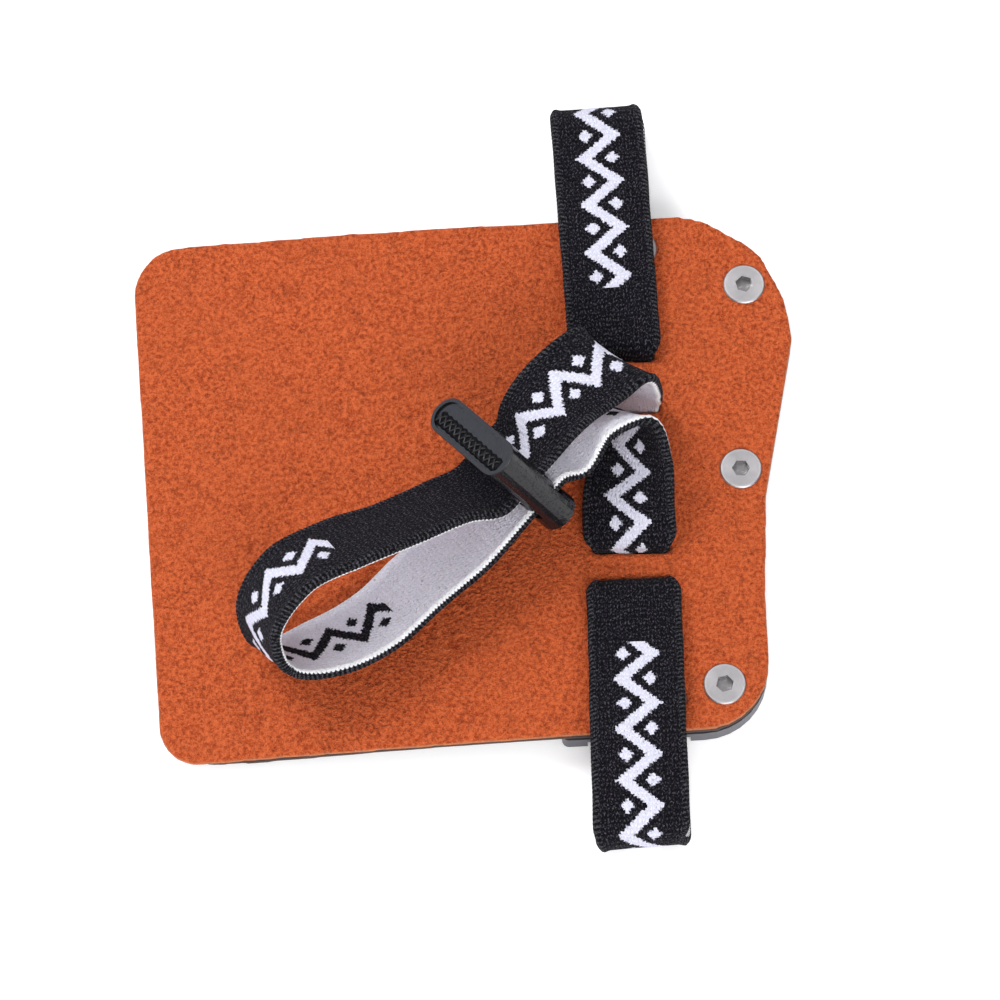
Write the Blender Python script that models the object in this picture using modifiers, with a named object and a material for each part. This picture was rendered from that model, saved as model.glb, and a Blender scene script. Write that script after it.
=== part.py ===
"""Archery finger tab: a suede sheet over a smooth leather sheet, screwed to a metal plate, with two fixed finger
rings and one adjustable finger loop of flat woven elastic, which runs through a moulded slider.

Metres in the scene, millimetres in the tables below. X runs along the fingers towards the plate, Y runs across the
hand, +Z comes up out of the suede. The origin is under the middle of the whole object, on the surface it lies on.
"""
import math

import bmesh
import bpy
import numpy as np
from mathutils import Matrix, Vector

MM = 0.001

# ---------------------------------------------------------------- driving dimensions, mm
GAP = 0.3                 # clearance left between two pieces that touch
PLATE_T = 2.8             # metal plate
STRING_T = 1.0            # smooth leather that meets the string
SUEDE_T = 1.2             # suede that meets the fingers
STRING_Z = PLATE_T + GAP
SUEDE_Z = STRING_Z + STRING_T + GAP
TOP_Z = SUEDE_Z + SUEDE_T

BAND_W = 12.0             # woven elastic
BAND_T = 1.2
BACK_Z = 0.75             # middle of the elastic where it passes under the plate
TURN_R = 1.2              # its bend from the plate's underside up into a slot
SLOT_L = 13.0
SLOT_W = 2.0
CHANNEL_D = 1.65          # relief under the plate that the elastic lies in
CHANNEL_W = 13.0

PLATE_LEFT = 9.1          # where the plate ends; the sheets go on past it, unbacked
SHEET_LEFT = -42.3
SAG = 3.0                 # how far the unbacked end of the sheets has settled towards the surface

SCREW_HEAD = 5.4
SCREW_SHANK = 3.0
SCREW_RIM = 0.3           # straight rim of the countersunk head
SCREW_TOP = 5.5
SCREW_END = 1.95             # short of the elastic that runs under the two inner screws
HEX_AF = 2.0
HEX_DEEP = 1.1

SLIDER_AT = (4.2, -2.8, 15.9)
SLIDER_TURN, SLIDER_TILT, SLIDER_ROLL = -54.9, 29.6, 16.2    # degrees: about Z, nose up, about its own length
SLIDER_HALF_L = 8.2
SLIDER_R = 2.5            # end radius of its stadium section, so it is 5 mm thick
SLIDER_TOP = 7.6
SLIDER_FOOT = -6.9
SLIDER_LIP = 0.55         # rim round the sunk top face
SLIDER_SUNK = 0.3
SLIDER_SLOT_L = 12.9
SLIDER_SLOT_H = 2.0
UPPER_AT = (0.3, 0.1)     # each layer's slot in the slider: along its length, up its height
LOWER_AT = (0.9, -3.1)
SLIDER_REACH = 3.2        # the elastic runs straight this far to each side of the slider's middle

# ---------------------------------------------------------------- tables, mm and degrees
# corners of the sheets, clockwise seen from above
SHEET = (
    # name          x      y      round
    ("top_left",   -42.3,  35.5,   6.2),
    ("top_mid",     12.0,  34.2,  60.0),
    ("top_right",   31.2,  33.6,   8.0),
    ("shoulder",    38.9,  28.2,   7.0),
    ("upper_side",  41.7,  21.5,   9.0),
    ("point",       42.35, 15.9,   0.8),
    ("waist",       37.2,  -5.1,  14.0),
    ("hip",         36.0, -18.0,  30.0),
    ("low_right",   35.3, -35.9,   8.5),
    ("low_mid",     12.0, -35.5,  60.0),
    ("low_left",   -41.3, -35.0,   5.2),
)
STRING_ROUND = {"low_left": 8.0, "top_left": 6.8}     # the smooth leather's own, rounder corners

SLOTS = (
    # name          x      y      turn
    ("upper_ring",  19.5,  14.9,  -4.0),
    ("upper_leg",   19.8,   7.9,  -3.5),
    ("lower_leg",   19.5, -11.3,  -3.5),
    ("lower_ring",  19.5, -16.2,  -1.0),
)

SCREWS = (
    # name                x      y      turn
    ("screw_top",         36.85,  23.7,  10.0),
    ("screw_middle",      34.35,  -1.6,  24.0),
    ("screw_bottom",      29.95, -30.2,  41.0),
    ("screw_inner_top",   23.3,   29.7,  15.0),
    ("screw_inner_bottom", 22.3, -31.5,  33.0),
)

RINGS = (
    # name          slot          side   far_end   lean_front  lean_back  far_turn
    ("upper_ring", "upper_ring",    1,    49.6,      -0.1,       0.4,       0.0),
    ("lower_ring", "lower_ring",   -1,    49.6,      -1.5,      -1.2,       1.0),
)
RING_FOLDS = (
    # name       share of the way to the far end, z, round
    ("foot",       0.0,   BACK_Z,  TURN_R),
    ("mouth",      0.0,   7.0,     1.6),
    ("crown",      0.55,  8.1,     45.0),
    ("far_top",    1.0,   7.5,     3.2),
    ("far_foot",   1.0,   BACK_Z,  3.2),
)

# the long loop between its two slots: middle of the elastic, and where its near edge points from there
UPPER_LEG = (
    # name           x      y      z     turn   rise
    ("rise",        19.6,   8.5,  11.2,  -24,     0),
    ("crest",       18.6,   9.6,  17.8,  -37,    -1),
    ("fall",        12.8,   6.0,  18.7,  -41,     7),
    ("entry",        8.2,   1.2,  18.2,  -43,    23),
)
FREE_LOOP = (
    ("near_1",      -3.1,  -7.3,  16.2,  -51,    37),
    ("near_2",      -9.8, -10.3,  17.5,  -51,    38),
    ("near_3",     -16.6, -13.0,  19.2,  -52,    35),
    ("near_4",     -23.3, -16.2,  19.6,  -50,    38),
    ("turn_high",  -27.5, -21.0,  15.7,  -54,    45),
    ("turn_low",   -26.2, -24.2,  11.0,  -57,    47),
    ("far_1",      -19.6, -23.1,   9.6,  -61,    33),
    ("far_2",      -13.1, -20.0,   9.2,  -60,    30),
    ("far_3",       -7.4, -15.5,  10.2,  -58,    29),
    ("far_4",       -0.9, -11.0,  11.1,  -57,    32),
)
LOWER_LEG = (
    ("exit",        11.7,  -0.5,  13.9,  -58,    26),
    ("crest",       15.5,   3.0,  15.4,  -58,    34),
    ("turn",        20.3,   3.2,  13.7,  -43,    45),
    ("fall",        20.4,  -1.3,  10.9,  -20,    28),
    ("rest",        19.6,  -6.5,   8.7,  -11,    11),
)

MATERIALS = {
    # name            colour                      rough  metal
    "suede":          ((0.56, 0.11, 0.022, 1.0),  0.95,  0.0),
    "dark_leather":   ((0.045, 0.026, 0.020, 1.0), 0.55, 0.0),
    "anodised_plate": ((0.13, 0.13, 0.14, 1.0),   0.40,  0.9),
    "steel":          ((0.60, 0.59, 0.57, 1.0),   0.32,  1.0),
    "elastic":        ((0.018, 0.017, 0.021, 1.0), 0.90, 0.0),
    "gloss_black":    ((0.012, 0.012, 0.014, 1.0), 0.15, 0.0),
}

# ---------------------------------------------------------------- scene and materials
for old in list(bpy.data.objects):
    bpy.data.objects.remove(old, do_unlink=True)

parts = bpy.data.collections.new("finger_tab")
cutters = bpy.data.collections.new("cutters")
bpy.context.scene.collection.children.link(parts)
bpy.context.scene.collection.children.link(cutters)
root = bpy.data.objects.new("finger_tab_root", None)
parts.objects.link(root)


def material(name):
    if name in bpy.data.materials:
        return bpy.data.materials[name]
    colour, rough, metal = MATERIALS[name]
    mat = bpy.data.materials.new(name)
    mat.use_nodes = True
    shader = mat.node_tree.nodes["Principled BSDF"]
    shader.inputs["Base Color"].default_value = colour
    shader.inputs["Roughness"].default_value = rough
    shader.inputs["Metallic"].default_value = metal
    mat.diffuse_color = colour
    return mat


def add_part(name, mesh, mat, smooth=True):
    obj = bpy.data.objects.new(name, mesh)
    parts.objects.link(obj)
    obj.parent = root
    mesh.materials.clear()
    mesh.materials.append(material(mat))
    if smooth:
        mesh.shade_smooth()
        mesh.set_sharp_from_angle(angle=math.radians(35))
    return obj


def as_cutter(obj):
    for coll in list(obj.users_collection):
        coll.objects.unlink(obj)
    cutters.objects.link(obj)
    obj.hide_render = True
    obj.display_type = "WIRE"
    return obj


def cut(obj, tool):
    mod = obj.modifiers.new("cut_" + tool.name, "BOOLEAN")
    mod.operation = "DIFFERENCE"
    mod.solver = "EXACT"
    mod.object = tool


def box_cutter(name, centre, size, turn=0.0, frame=None):
    bpy.ops.mesh.primitive_cube_add(size=1.0)
    obj = bpy.context.active_object
    obj.name = name
    scale = Matrix.Diagonal((size[0] * MM, size[1] * MM, size[2] * MM, 1.0))
    place = Matrix.Translation(Vector(centre) * MM)
    spin = frame.to_4x4() if frame else Matrix.Rotation(math.radians(turn), 4, "Z")
    obj.data.transform(scale)
    obj.matrix_world = place @ spin
    return as_cutter(obj)


def rod_cutter(name, at, radius, z0, z1, vertices=32):
    bpy.ops.mesh.primitive_cylinder_add(vertices=vertices, radius=radius * MM, depth=(z1 - z0) * MM,
                                        location=(at[0] * MM, at[1] * MM, (z0 + z1) / 2 * MM))
    obj = bpy.context.active_object
    obj.name = name
    return as_cutter(obj)


# ---------------------------------------------------------------- outlines
def rounded(corners, step=12.0):
    """The closed outline through (x, y, radius) corners, each one rounded by an arc."""
    out = []
    count = len(corners)
    for i in range(count):
        here = np.array(corners[i][:2], float)
        back = np.array(corners[i - 1][:2], float) - here
        ahead = np.array(corners[(i + 1) % count][:2], float) - here
        lb, la = np.linalg.norm(back), np.linalg.norm(ahead)
        back, ahead = back / lb, ahead / la
        half = math.acos(max(-1.0, min(1.0, float(back @ ahead)))) / 2
        trim = min(corners[i][2] / math.tan(half), 0.48 * min(lb, la))
        radius = trim * math.tan(half)
        centre = here + (back + ahead) / np.linalg.norm(back + ahead) * radius / math.sin(half)
        start, end = here + back * trim - centre, here + ahead * trim - centre
        a0 = math.atan2(start[1], start[0])
        sweep = math.atan2(end[1], end[0]) - a0
        sweep = (sweep + math.pi) % (2 * math.pi) - math.pi
        n = max(2, math.ceil(abs(math.degrees(sweep)) / step))
        for k in range(n + 1):
            a = a0 + sweep * k / n
            out.append((centre[0] + radius * math.cos(a), centre[1] + radius * math.sin(a)))
    return out


def slab(name, outline, z0, z1):
    """A flat piece with this outline, as a welded mesh: a filled 2D curve with a thickness."""
    curve = bpy.data.curves.new(name + "_outline", "CURVE")
    curve.dimensions = "2D"
    curve.fill_mode = "BOTH"
    curve.extrude = (z1 - z0) / 2 * MM
    spline = curve.splines.new("POLY")
    spline.points.add(len(outline) - 1)
    for point, (x, y) in zip(spline.points, outline):
        point.co = (x * MM, y * MM, 0.0, 1.0)
    spline.use_cyclic_u = True
    guide = bpy.data.objects.new(name + "_outline", curve)
    bpy.context.scene.collection.objects.link(guide)
    bpy.context.view_layer.update()
    mesh = bpy.data.meshes.new_from_object(guide.evaluated_get(bpy.context.evaluated_depsgraph_get()))
    mesh.name = name
    bpy.data.objects.remove(guide, do_unlink=True)
    mesh.transform(Matrix.Translation((0, 0, (z0 + z1) / 2 * MM)))
    bm = bmesh.new()
    bm.from_mesh(mesh)
    bmesh.ops.remove_doubles(bm, verts=bm.verts, dist=1e-6)
    bmesh.ops.recalc_face_normals(bm, faces=bm.faces)
    bm.to_mesh(mesh)
    bm.free()
    return mesh


def sag_at(x):
    """How far the sheets have dropped at this X: a strip clamped at the plate's edge."""
    t = max(0.0, (PLATE_LEFT - x) / (PLATE_LEFT - SHEET_LEFT))
    return SAG * (1.5 * t * t - 0.5 * t ** 3)


def settle(mesh, rows=12):
    """Bend a sheet down past the plate's edge."""
    bm = bmesh.new()
    bm.from_mesh(mesh)
    for i in range(rows):
        x = PLATE_LEFT + (SHEET_LEFT - PLATE_LEFT) * i / rows
        bmesh.ops.bisect_plane(bm, geom=bm.verts[:] + bm.edges[:] + bm.faces[:],
                               plane_co=(x * MM, 0, 0), plane_no=(1, 0, 0), dist=1e-7)
    bmesh.ops.triangulate(bm, faces=bm.faces)
    for v in bm.verts:
        v.co.z -= sag_at(v.co.x / MM) * MM
    bm.to_mesh(mesh)
    bm.free()


# ---------------------------------------------------------------- the plate and the two sheets
sheet_outline = rounded([row[1:] for row in SHEET])
string_outline = rounded([(x, y, STRING_ROUND.get(name, r)) for name, x, y, r in SHEET])
right_hand = [row[1:] for row in SHEET if row[1] > PLATE_LEFT + 5]
plate_outline = rounded([(PLATE_LEFT, 34.2, 0.9)] + right_hand + [(PLATE_LEFT, -35.4, 0.9)])

plate = add_part("plate", slab("plate", plate_outline, 0.0, PLATE_T), "anodised_plate")
string_mesh = slab("string_face", string_outline, STRING_Z, STRING_Z + STRING_T)
settle(string_mesh)
string_face = add_part("string_face", string_mesh, "dark_leather")
suede_mesh = slab("suede_facing", sheet_outline, SUEDE_Z, TOP_Z)
settle(suede_mesh)
suede_facing = add_part("suede_facing", suede_mesh, "suede")

slot_at = {name: (x, y, turn) for name, x, y, turn in SLOTS}
for name, (x, y, turn) in slot_at.items():
    tool = box_cutter("slot_" + name, (x, y, 4.0), (SLOT_L, SLOT_W, 12.0), turn)
    for piece in (plate, string_face, suede_facing):
        cut(piece, tool)


def channel(name, start, end, width):
    """A shallow straight relief in the plate's underside from one point to another."""
    (x0, y0), (x1, y1) = start, end
    turn = math.degrees(math.atan2(x0 - x1, y1 - y0))
    depth = CHANNEL_D + 1.0
    tool = box_cutter("channel_" + name, ((x0 + x1) / 2, (y0 + y1) / 2, CHANNEL_D - depth / 2),
                      (width, math.hypot(x1 - x0, y1 - y0), depth), turn)
    cut(plate, tool)


upper, lower = slot_at["upper_leg"], slot_at["lower_leg"]
channel("middle", (lower[0], lower[1] - SLOT_W / 2), (upper[0], upper[1] + SLOT_W / 2), CHANNEL_W + 0.3)

# ---------------------------------------------------------------- screws
head_r, shank_r = SCREW_HEAD / 2, SCREW_SHANK / 2
cone_z = SCREW_TOP - SCREW_RIM - (head_r - shank_r)
profile = [(0.0, SCREW_TOP), (head_r - 0.15, SCREW_TOP), (head_r, SCREW_TOP - 0.12), (head_r, SCREW_TOP - SCREW_RIM),
           (shank_r, cone_z), (shank_r, SCREW_END + 0.3), (shank_r - 0.3, SCREW_END), (0.0, SCREW_END)]
wire = bpy.data.meshes.new("screw_profile")
wire.from_pydata([(r * MM, 0.0, z * MM) for r, z in profile], [(i, i + 1) for i in range(len(profile) - 1)], [])
turned = bpy.data.objects.new("screw_profile", wire)
cutters.objects.link(turned)
spin = turned.modifiers.new("spin", "SCREW")
spin.angle = 2 * math.pi
spin.steps = spin.render_steps = 32
spin.use_merge_vertices = True
spin.merge_threshold = 0.00001
hex_tool = rod_cutter("hex_socket", (0, 0), HEX_AF / math.sqrt(3), SCREW_TOP - HEX_DEEP, SCREW_TOP + 1.0, vertices=6)
cut(turned, hex_tool)
bpy.context.view_layer.update()
screw_mesh = bpy.data.meshes.new_from_object(turned.evaluated_get(bpy.context.evaluated_depsgraph_get()))
screw_mesh.name = "screw"
bpy.data.objects.remove(turned, do_unlink=True)
bpy.data.objects.remove(hex_tool, do_unlink=True)

for name, x, y, turn in SCREWS:
    screw = add_part(name, screw_mesh, "steel")
    screw.location = (x * MM, y * MM, 0.0)
    screw.rotation_euler = (0.0, 0.0, math.radians(turn))
    cut(plate, rod_cutter("bore_" + name, (x, y), shank_r + GAP, -1.0, PLATE_T + 1.0))
    cut(string_face, rod_cutter("pass_" + name, (x, y), shank_r + 0.15 + GAP, STRING_Z - 0.5, SUEDE_Z - GAP / 2))
    cut(suede_facing, rod_cutter("seat_" + name, (x, y), head_r + GAP, SUEDE_Z - GAP / 2, TOP_Z + 1.0))


# ---------------------------------------------------------------- woven elastic
def pointing(turn, rise):
    turn, rise = math.radians(turn), math.radians(rise)
    return np.array([math.cos(rise) * math.cos(turn), math.cos(rise) * math.sin(turn), math.sin(rise)])


def smooth_through(rows, first, last, fixed, per_span=8):
    """A smooth curve through the rows (x, y, z, wx, wy, wz); first, last and fixed give known headings."""
    pts = np.array(rows, float)
    chord = np.linalg.norm(np.diff(pts[:, :3], axis=0), axis=1)
    slope = np.diff(pts, axis=0) / chord[:, None]
    tangent = np.zeros_like(pts)
    tangent[1:-1] = (slope[:-1] * chord[1:, None] + slope[1:] * chord[:-1, None]) / (chord[:-1] + chord[1:])[:, None]
    tangent[0, :3], tangent[-1, :3] = first, last
    for i, heading in fixed.items():
        tangent[i, :3] = heading
        tangent[i, 3:] = 0.0
    out = []
    for i, h in enumerate(chord):
        for k in range(per_span):
            t = k / per_span
            out.append((2 * t ** 3 - 3 * t ** 2 + 1) * pts[i] + (t ** 3 - 2 * t ** 2 + t) * h * tangent[i]
                       + (3 * t ** 2 - 2 * t ** 3) * pts[i + 1] + (t ** 3 - t ** 2) * h * tangent[i + 1])
    out.append(pts[-1])
    return out


def thin_out(rows, longest=1.7, sharpest=13.0):
    """Drop points from a closed path where it is nearly straight and close-spaced."""
    keep = [rows[0]]
    heading = None
    for i in range(1, len(rows) - 1):
        step = rows[i + 1][:3] - keep[-1][:3]
        seg = rows[i][:3] - keep[-1][:3]
        ahead = rows[i + 1][:3] - rows[i][:3]
        bend = 0.0
        if np.linalg.norm(seg) > 1e-6 and np.linalg.norm(ahead) > 1e-6:
            cosine = float(seg @ ahead) / (np.linalg.norm(seg) * np.linalg.norm(ahead))
            bend = math.degrees(math.acos(max(-1.0, min(1.0, cosine))))
        if np.linalg.norm(step) > longest or bend > sharpest:
            keep.append(rows[i])
    return keep


def band(name, rows):
    """A closed ring of flat elastic: a grid laid along the path, closed on itself and given its thickness."""
    rows = [r for i, r in enumerate(rows) if np.linalg.norm(r[:3] - rows[i - 1][:3]) > 0.05]
    count = len(rows)
    bm = bmesh.new()
    bmesh.ops.create_grid(bm, x_segments=count, y_segments=1, size=0.5)
    for v in bm.verts:
        row = rows[int(round((v.co.x + 0.5) * count)) % count]
        side = row[3:] / np.linalg.norm(row[3:])
        v.co = Vector((row[:3] + side * (BAND_W / 2 if v.co.y > 0 else -BAND_W / 2)) * MM)
    bmesh.ops.remove_doubles(bm, verts=bm.verts, dist=1e-7)
    bmesh.ops.recalc_face_normals(bm, faces=bm.faces)
    mesh = bpy.data.meshes.new(name)
    bm.to_mesh(mesh)
    bm.free()
    obj = add_part(name, mesh, "elastic")
    thick = obj.modifiers.new("thickness", "SOLIDIFY")
    thick.thickness = BAND_T * MM
    thick.offset = 0.0
    thick.use_even_offset = True
    thick.use_rim = True
    return obj


for name, slot, side, far_end, lean_front, lean_back, far_turn in RINGS:
    x0, y0, turn = slot_at[slot]
    reach = far_end - side * y0
    path = rounded([(share * reach, z, r) for _, share, z, r in RING_FOLDS])
    rows = []
    for i, (u, z) in enumerate(path):
        lean = lean_back + (lean_front - lean_back) * min(1.0, max(0.0, (z - 2.0) / 4.0))
        k = u / reach
        centre = (x0 + lean * k, y0 + side * u, z)
        rows.append(np.array([*centre, *pointing(turn + (far_turn - turn) * k, 0.0)]))
    # long straight runs get points of their own, so that the elastic can turn a little on the way
    full = []
    for a, b in zip(rows, rows[1:] + rows[:1]):
        n = max(1, math.ceil(np.linalg.norm(b[:3] - a[:3]) / 4.0))
        full += [a + (b - a) * k / n for k in range(n)]
    band(name, full)
    edge = side * 45.0
    start = (x0 + lean_back * 0.0, y0 - side * SLOT_W / 2)
    end = (x0 + lean_back * (side * edge - side * y0) / reach, edge)
    pair = (start, end) if side > 0 else (end, start)
    channel(name, pair[0], pair[1], CHANNEL_W)

slider_len = Vector(pointing(SLIDER_TURN, SLIDER_TILT))
slider_up = (Vector((0, 0, 1)) - slider_len * slider_len.z).normalized()
slider_up.rotate(Matrix.Rotation(math.radians(SLIDER_ROLL), 3, slider_len))
slider_thru = slider_up.cross(slider_len)
slider_frame = Matrix((slider_len, slider_thru, slider_up)).transposed()


def at_slider(place, reach):
    p = (Vector(SLIDER_AT) + slider_len * place[0] + slider_up * place[1] + slider_thru * reach)
    return [*p, *slider_len]


def table(rows):
    return [[x, y, z, *pointing(turn, rise)] for _, x, y, z, turn, rise in rows]


up_mouth = [upper[0], upper[1], TOP_Z, *pointing(upper[2], 0)]
low_mouth = [lower[0], lower[1], TOP_Z, *pointing(lower[2], 0)]
free = [up_mouth] + table(UPPER_LEG)
fixed = {len(free): -slider_thru, len(free) + 1: -slider_thru}
free += [at_slider(UPPER_AT, SLIDER_REACH), at_slider(UPPER_AT, -SLIDER_REACH)] + table(FREE_LOOP)
fixed.update({len(free): slider_thru, len(free) + 1: slider_thru})
free += [at_slider(LOWER_AT, -SLIDER_REACH), at_slider(LOWER_AT, SLIDER_REACH)] + table(LOWER_LEG) + [low_mouth]
path = thin_out(smooth_through(free, (0, 0, 1), (0, 0, -1), fixed))


def foot(slot, way):
    """The bend from a slot to the plate's underside; way is the side the elastic comes from."""
    out = []
    for k in range(7):
        a = math.radians(90.0 * k / 6)
        y = slot[1] + way * TURN_R * (1 - math.cos(a))
        z = BACK_Z + TURN_R * (1 - math.sin(a))
        out.append(np.array([slot[0], y, z, *pointing(slot[2], 0)]))
    return out


back = foot(lower, 1) + foot(upper, -1)[::-1]
band("middle_loop", path + [np.array(low_mouth)] + back)

# ---------------------------------------------------------------- the slider
def stadium(half_length, radius, arc=12):
    """Round-ended outline, long along X."""
    reach = half_length - radius
    out = []
    for side, start in ((1, -90.0), (-1, 90.0)):
        for k in range(arc + 1):
            a = math.radians(start + 180.0 * k / arc)
            out.append((side * reach + radius * math.cos(a), radius * math.sin(a)))
    return out


body = slab("slider", stadium(SLIDER_HALF_L, SLIDER_R), SLIDER_FOOT, SLIDER_TOP)
bm = bmesh.new()
bm.from_mesh(body)
for level in (-5.0, -2.0, 1.5, 4.5):
    bmesh.ops.bisect_plane(bm, geom=bm.verts[:] + bm.edges[:] + bm.faces[:],
                           plane_co=(0, 0, level * MM), plane_no=(0, 0, 1), dist=1e-7)
for v in bm.verts:
    h = max(-1.0, v.co.z / MM / SLIDER_TOP)            # 1 at the top face
    v.co.y *= 1.0 + 0.05 * max(0.0, -h) ** 1.5 - 0.04 * (1 - h * h)
    v.co.x *= 1.0 + 0.02 * max(0.0, -h)
bm.to_mesh(body)
bm.free()
slider = add_part("slider", body, "gloss_black")
soften = slider.modifiers.new("soften", "BEVEL")
soften.width = 0.45 * MM
soften.segments = 3
soften.limit_method = "ANGLE"
soften.angle_limit = math.radians(60)
sunk = slab("sunk_face", stadium(SLIDER_HALF_L - SLIDER_LIP, SLIDER_R - SLIDER_LIP),
            SLIDER_TOP - SLIDER_SUNK, SLIDER_TOP + 1.0)
sunk_tool = bpy.data.objects.new("sunk_face", sunk)
cutters.objects.link(sunk_tool)
as_cutter(sunk_tool)
place = Matrix.Translation(Vector(SLIDER_AT) * MM) @ slider_frame.to_4x4()
slider.matrix_world = place
sunk_tool.matrix_world = place
cut(slider, sunk_tool)
for name, layer in (("upper", UPPER_AT), ("lower", LOWER_AT)):
    centre = Vector(SLIDER_AT) + slider_len * layer[0] + slider_up * layer[1]
    cut(slider, box_cutter("keeper_slot_" + name, centre, (SLIDER_SLOT_L, 12.0, SLIDER_SLOT_H), frame=slider_frame))
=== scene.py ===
import math

import bmesh
import bpy
import numpy as np
from mathutils import Matrix, Vector


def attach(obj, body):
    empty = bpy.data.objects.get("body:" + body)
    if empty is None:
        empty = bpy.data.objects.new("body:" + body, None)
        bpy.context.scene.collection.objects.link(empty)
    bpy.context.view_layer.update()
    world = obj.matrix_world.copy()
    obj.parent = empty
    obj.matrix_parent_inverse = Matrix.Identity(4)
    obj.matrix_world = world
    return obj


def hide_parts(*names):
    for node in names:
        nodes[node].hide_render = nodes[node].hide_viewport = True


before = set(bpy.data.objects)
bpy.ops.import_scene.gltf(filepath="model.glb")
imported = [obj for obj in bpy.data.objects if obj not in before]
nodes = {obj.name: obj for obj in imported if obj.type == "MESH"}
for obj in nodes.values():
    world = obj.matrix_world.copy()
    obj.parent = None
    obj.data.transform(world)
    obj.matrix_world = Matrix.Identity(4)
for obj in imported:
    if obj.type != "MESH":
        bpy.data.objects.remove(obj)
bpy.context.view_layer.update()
scene = bpy.context.scene
MM = 0.001

# ================================================================ camera and view
TARGET = Vector((3.4, -3.7, 5.6)) * MM
CAM_RIGHT = Vector((0.9976, -0.0655, -0.0239))
CAM_UP = Vector((0.0698, 0.9374, 0.3412))
CAM_BACK = Vector((0.0, -0.342, 0.940))

cam_data = bpy.data.cameras.new("camera")
cam_data.lens = 169.56
cam_data.sensor_width = 36.0
cam_data.clip_start, cam_data.clip_end = 0.01, 20.0
cam = bpy.data.objects.new("camera", cam_data)
back = CAM_BACK.normalized()
right = (CAM_RIGHT - back * CAM_RIGHT.dot(back)).normalized()
up = back.cross(right)
cam.matrix_world = Matrix.Translation(TARGET + back * 0.6) @ Matrix((right, up, back)).transposed().to_4x4()
scene.collection.objects.link(cam)
scene.camera = cam
scene.view_settings.view_transform = "Standard"
scene.view_settings.look = "None"


# ================================================================ node trees
class Net:
    """Builds one material's node tree."""

    def __init__(self, name, rough=0.5, metal=0.0, spec=0.5):
        self.mat = bpy.data.materials.new(name)
        self.mat.use_nodes = True
        self.tree = self.mat.node_tree
        self.bsdf = self.tree.nodes["Principled BSDF"]
        self.set(Roughness=rough, Metallic=metal)
        self.bsdf.inputs["Specular IOR Level"].default_value = spec

    def set(self, **values):
        for key, value in values.items():
            self.feed(self.bsdf.inputs[key.replace("_", " ")], value)

    def feed(self, socket, value):
        if isinstance(value, bpy.types.NodeSocket):
            self.tree.links.new(value, socket)
        else:
            socket.default_value = value

    def add(self, kind, settings=None, **inputs):
        node = self.tree.nodes.new(kind)
        for key, value in (settings or {}).items():
            setattr(node, key, value)
        for key, value in inputs.items():
            self.feed(node.inputs[key.replace("_", " ")], value)
        return node

    def math(self, op, a, b=0.0, c=0.0, clamp=False):
        node = self.tree.nodes.new("ShaderNodeMath")
        node.operation = op
        node.use_clamp = clamp
        for socket, value in zip(node.inputs, (a, b, c)):
            self.feed(socket, value)
        return node.outputs[0]

    def step(self, value, low, high):
        """0 below low, 1 above high, smooth between."""
        node = self.add("ShaderNodeMapRange", {"interpolation_type": "SMOOTHSTEP"})
        self.feed(node.inputs["Value"], value)
        self.feed(node.inputs["From Min"], low)
        self.feed(node.inputs["From Max"], high)
        return node.outputs[0]

    def mix(self, share, a, b, blend="MIX"):
        node = self.tree.nodes.new("ShaderNodeMix")
        node.data_type = "RGBA"
        node.blend_type = blend
        self.feed(node.inputs[0], share)
        self.feed(node.inputs[6], a)
        self.feed(node.inputs[7], b)
        return node.outputs[2]

    def coords(self):
        return self.add("ShaderNodeTexCoord").outputs["Object"]

    def attribute(self, name):
        return self.add("ShaderNodeAttribute", {"attribute_name": name}).outputs["Fac"]

    def noise(self, vector, size_mm, detail=2.0, rough=0.5, distortion=0.0):
        node = self.add("ShaderNodeTexNoise", Vector=vector, Scale=1.0 / (size_mm * MM), Detail=detail,
                        Roughness=rough, Distortion=distortion)
        return node.outputs["Fac"]

    def cells(self, vector, size_mm, feature="F1"):
        node = self.add("ShaderNodeTexVoronoi", {"feature": feature}, Vector=vector, Scale=1.0 / (size_mm * MM))
        return node

    def bump(self, height, depth_mm, strength=1.0, normal=None):
        node = self.add("ShaderNodeBump", Strength=strength, Distance=depth_mm * MM, Height=height)
        if normal is not None:
            self.feed(node.inputs["Normal"], normal)
        return node.outputs[0]


def grey(value, blue=1.0):
    return (value, value, min(1.0, value * blue), 1.0)


# ================================================================ the paths of the elastic, mm and degrees
TOP_Z = 5.6
BAND_W, BAND_T, BACK_Z, TURN_R = 12.0, 1.2, 0.75, 1.2
SLOTS = {
    # name          x      y      turn
    "upper_ring":  (19.5,  14.9,  -4.0),
    "upper_leg":   (19.8,   7.9,  -3.5),
    "lower_leg":   (19.5, -11.3,  -3.5),
    "lower_ring":  (19.5, -16.2,  -1.0),
}
RINGS = (
    # name        side   far_end   lean_front  lean_back  far_turn
    ("upper_ring",  1,    49.6,      -0.1,       0.4,       0.0),
    ("lower_ring", -1,    49.6,      -1.5,      -1.2,       1.0),
)
RING_FOLDS = (
    # share of the way to the far end, z, round
    (0.0,   BACK_Z,  TURN_R),
    (0.0,   7.0,     1.6),
    (0.55,  8.1,     45.0),
    (1.0,   7.5,     3.2),
    (1.0,   BACK_Z,  3.2),
)
UPPER_LEG = (
    # x      y      z     turn   rise
    (19.6,   8.5,  11.2,  -24,     0),
    (18.6,   9.6,  17.8,  -37,    -1),
    (12.8,   6.0,  18.7,  -41,     7),
    (8.2,    1.2,  18.2,  -43,    23),
)
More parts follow.
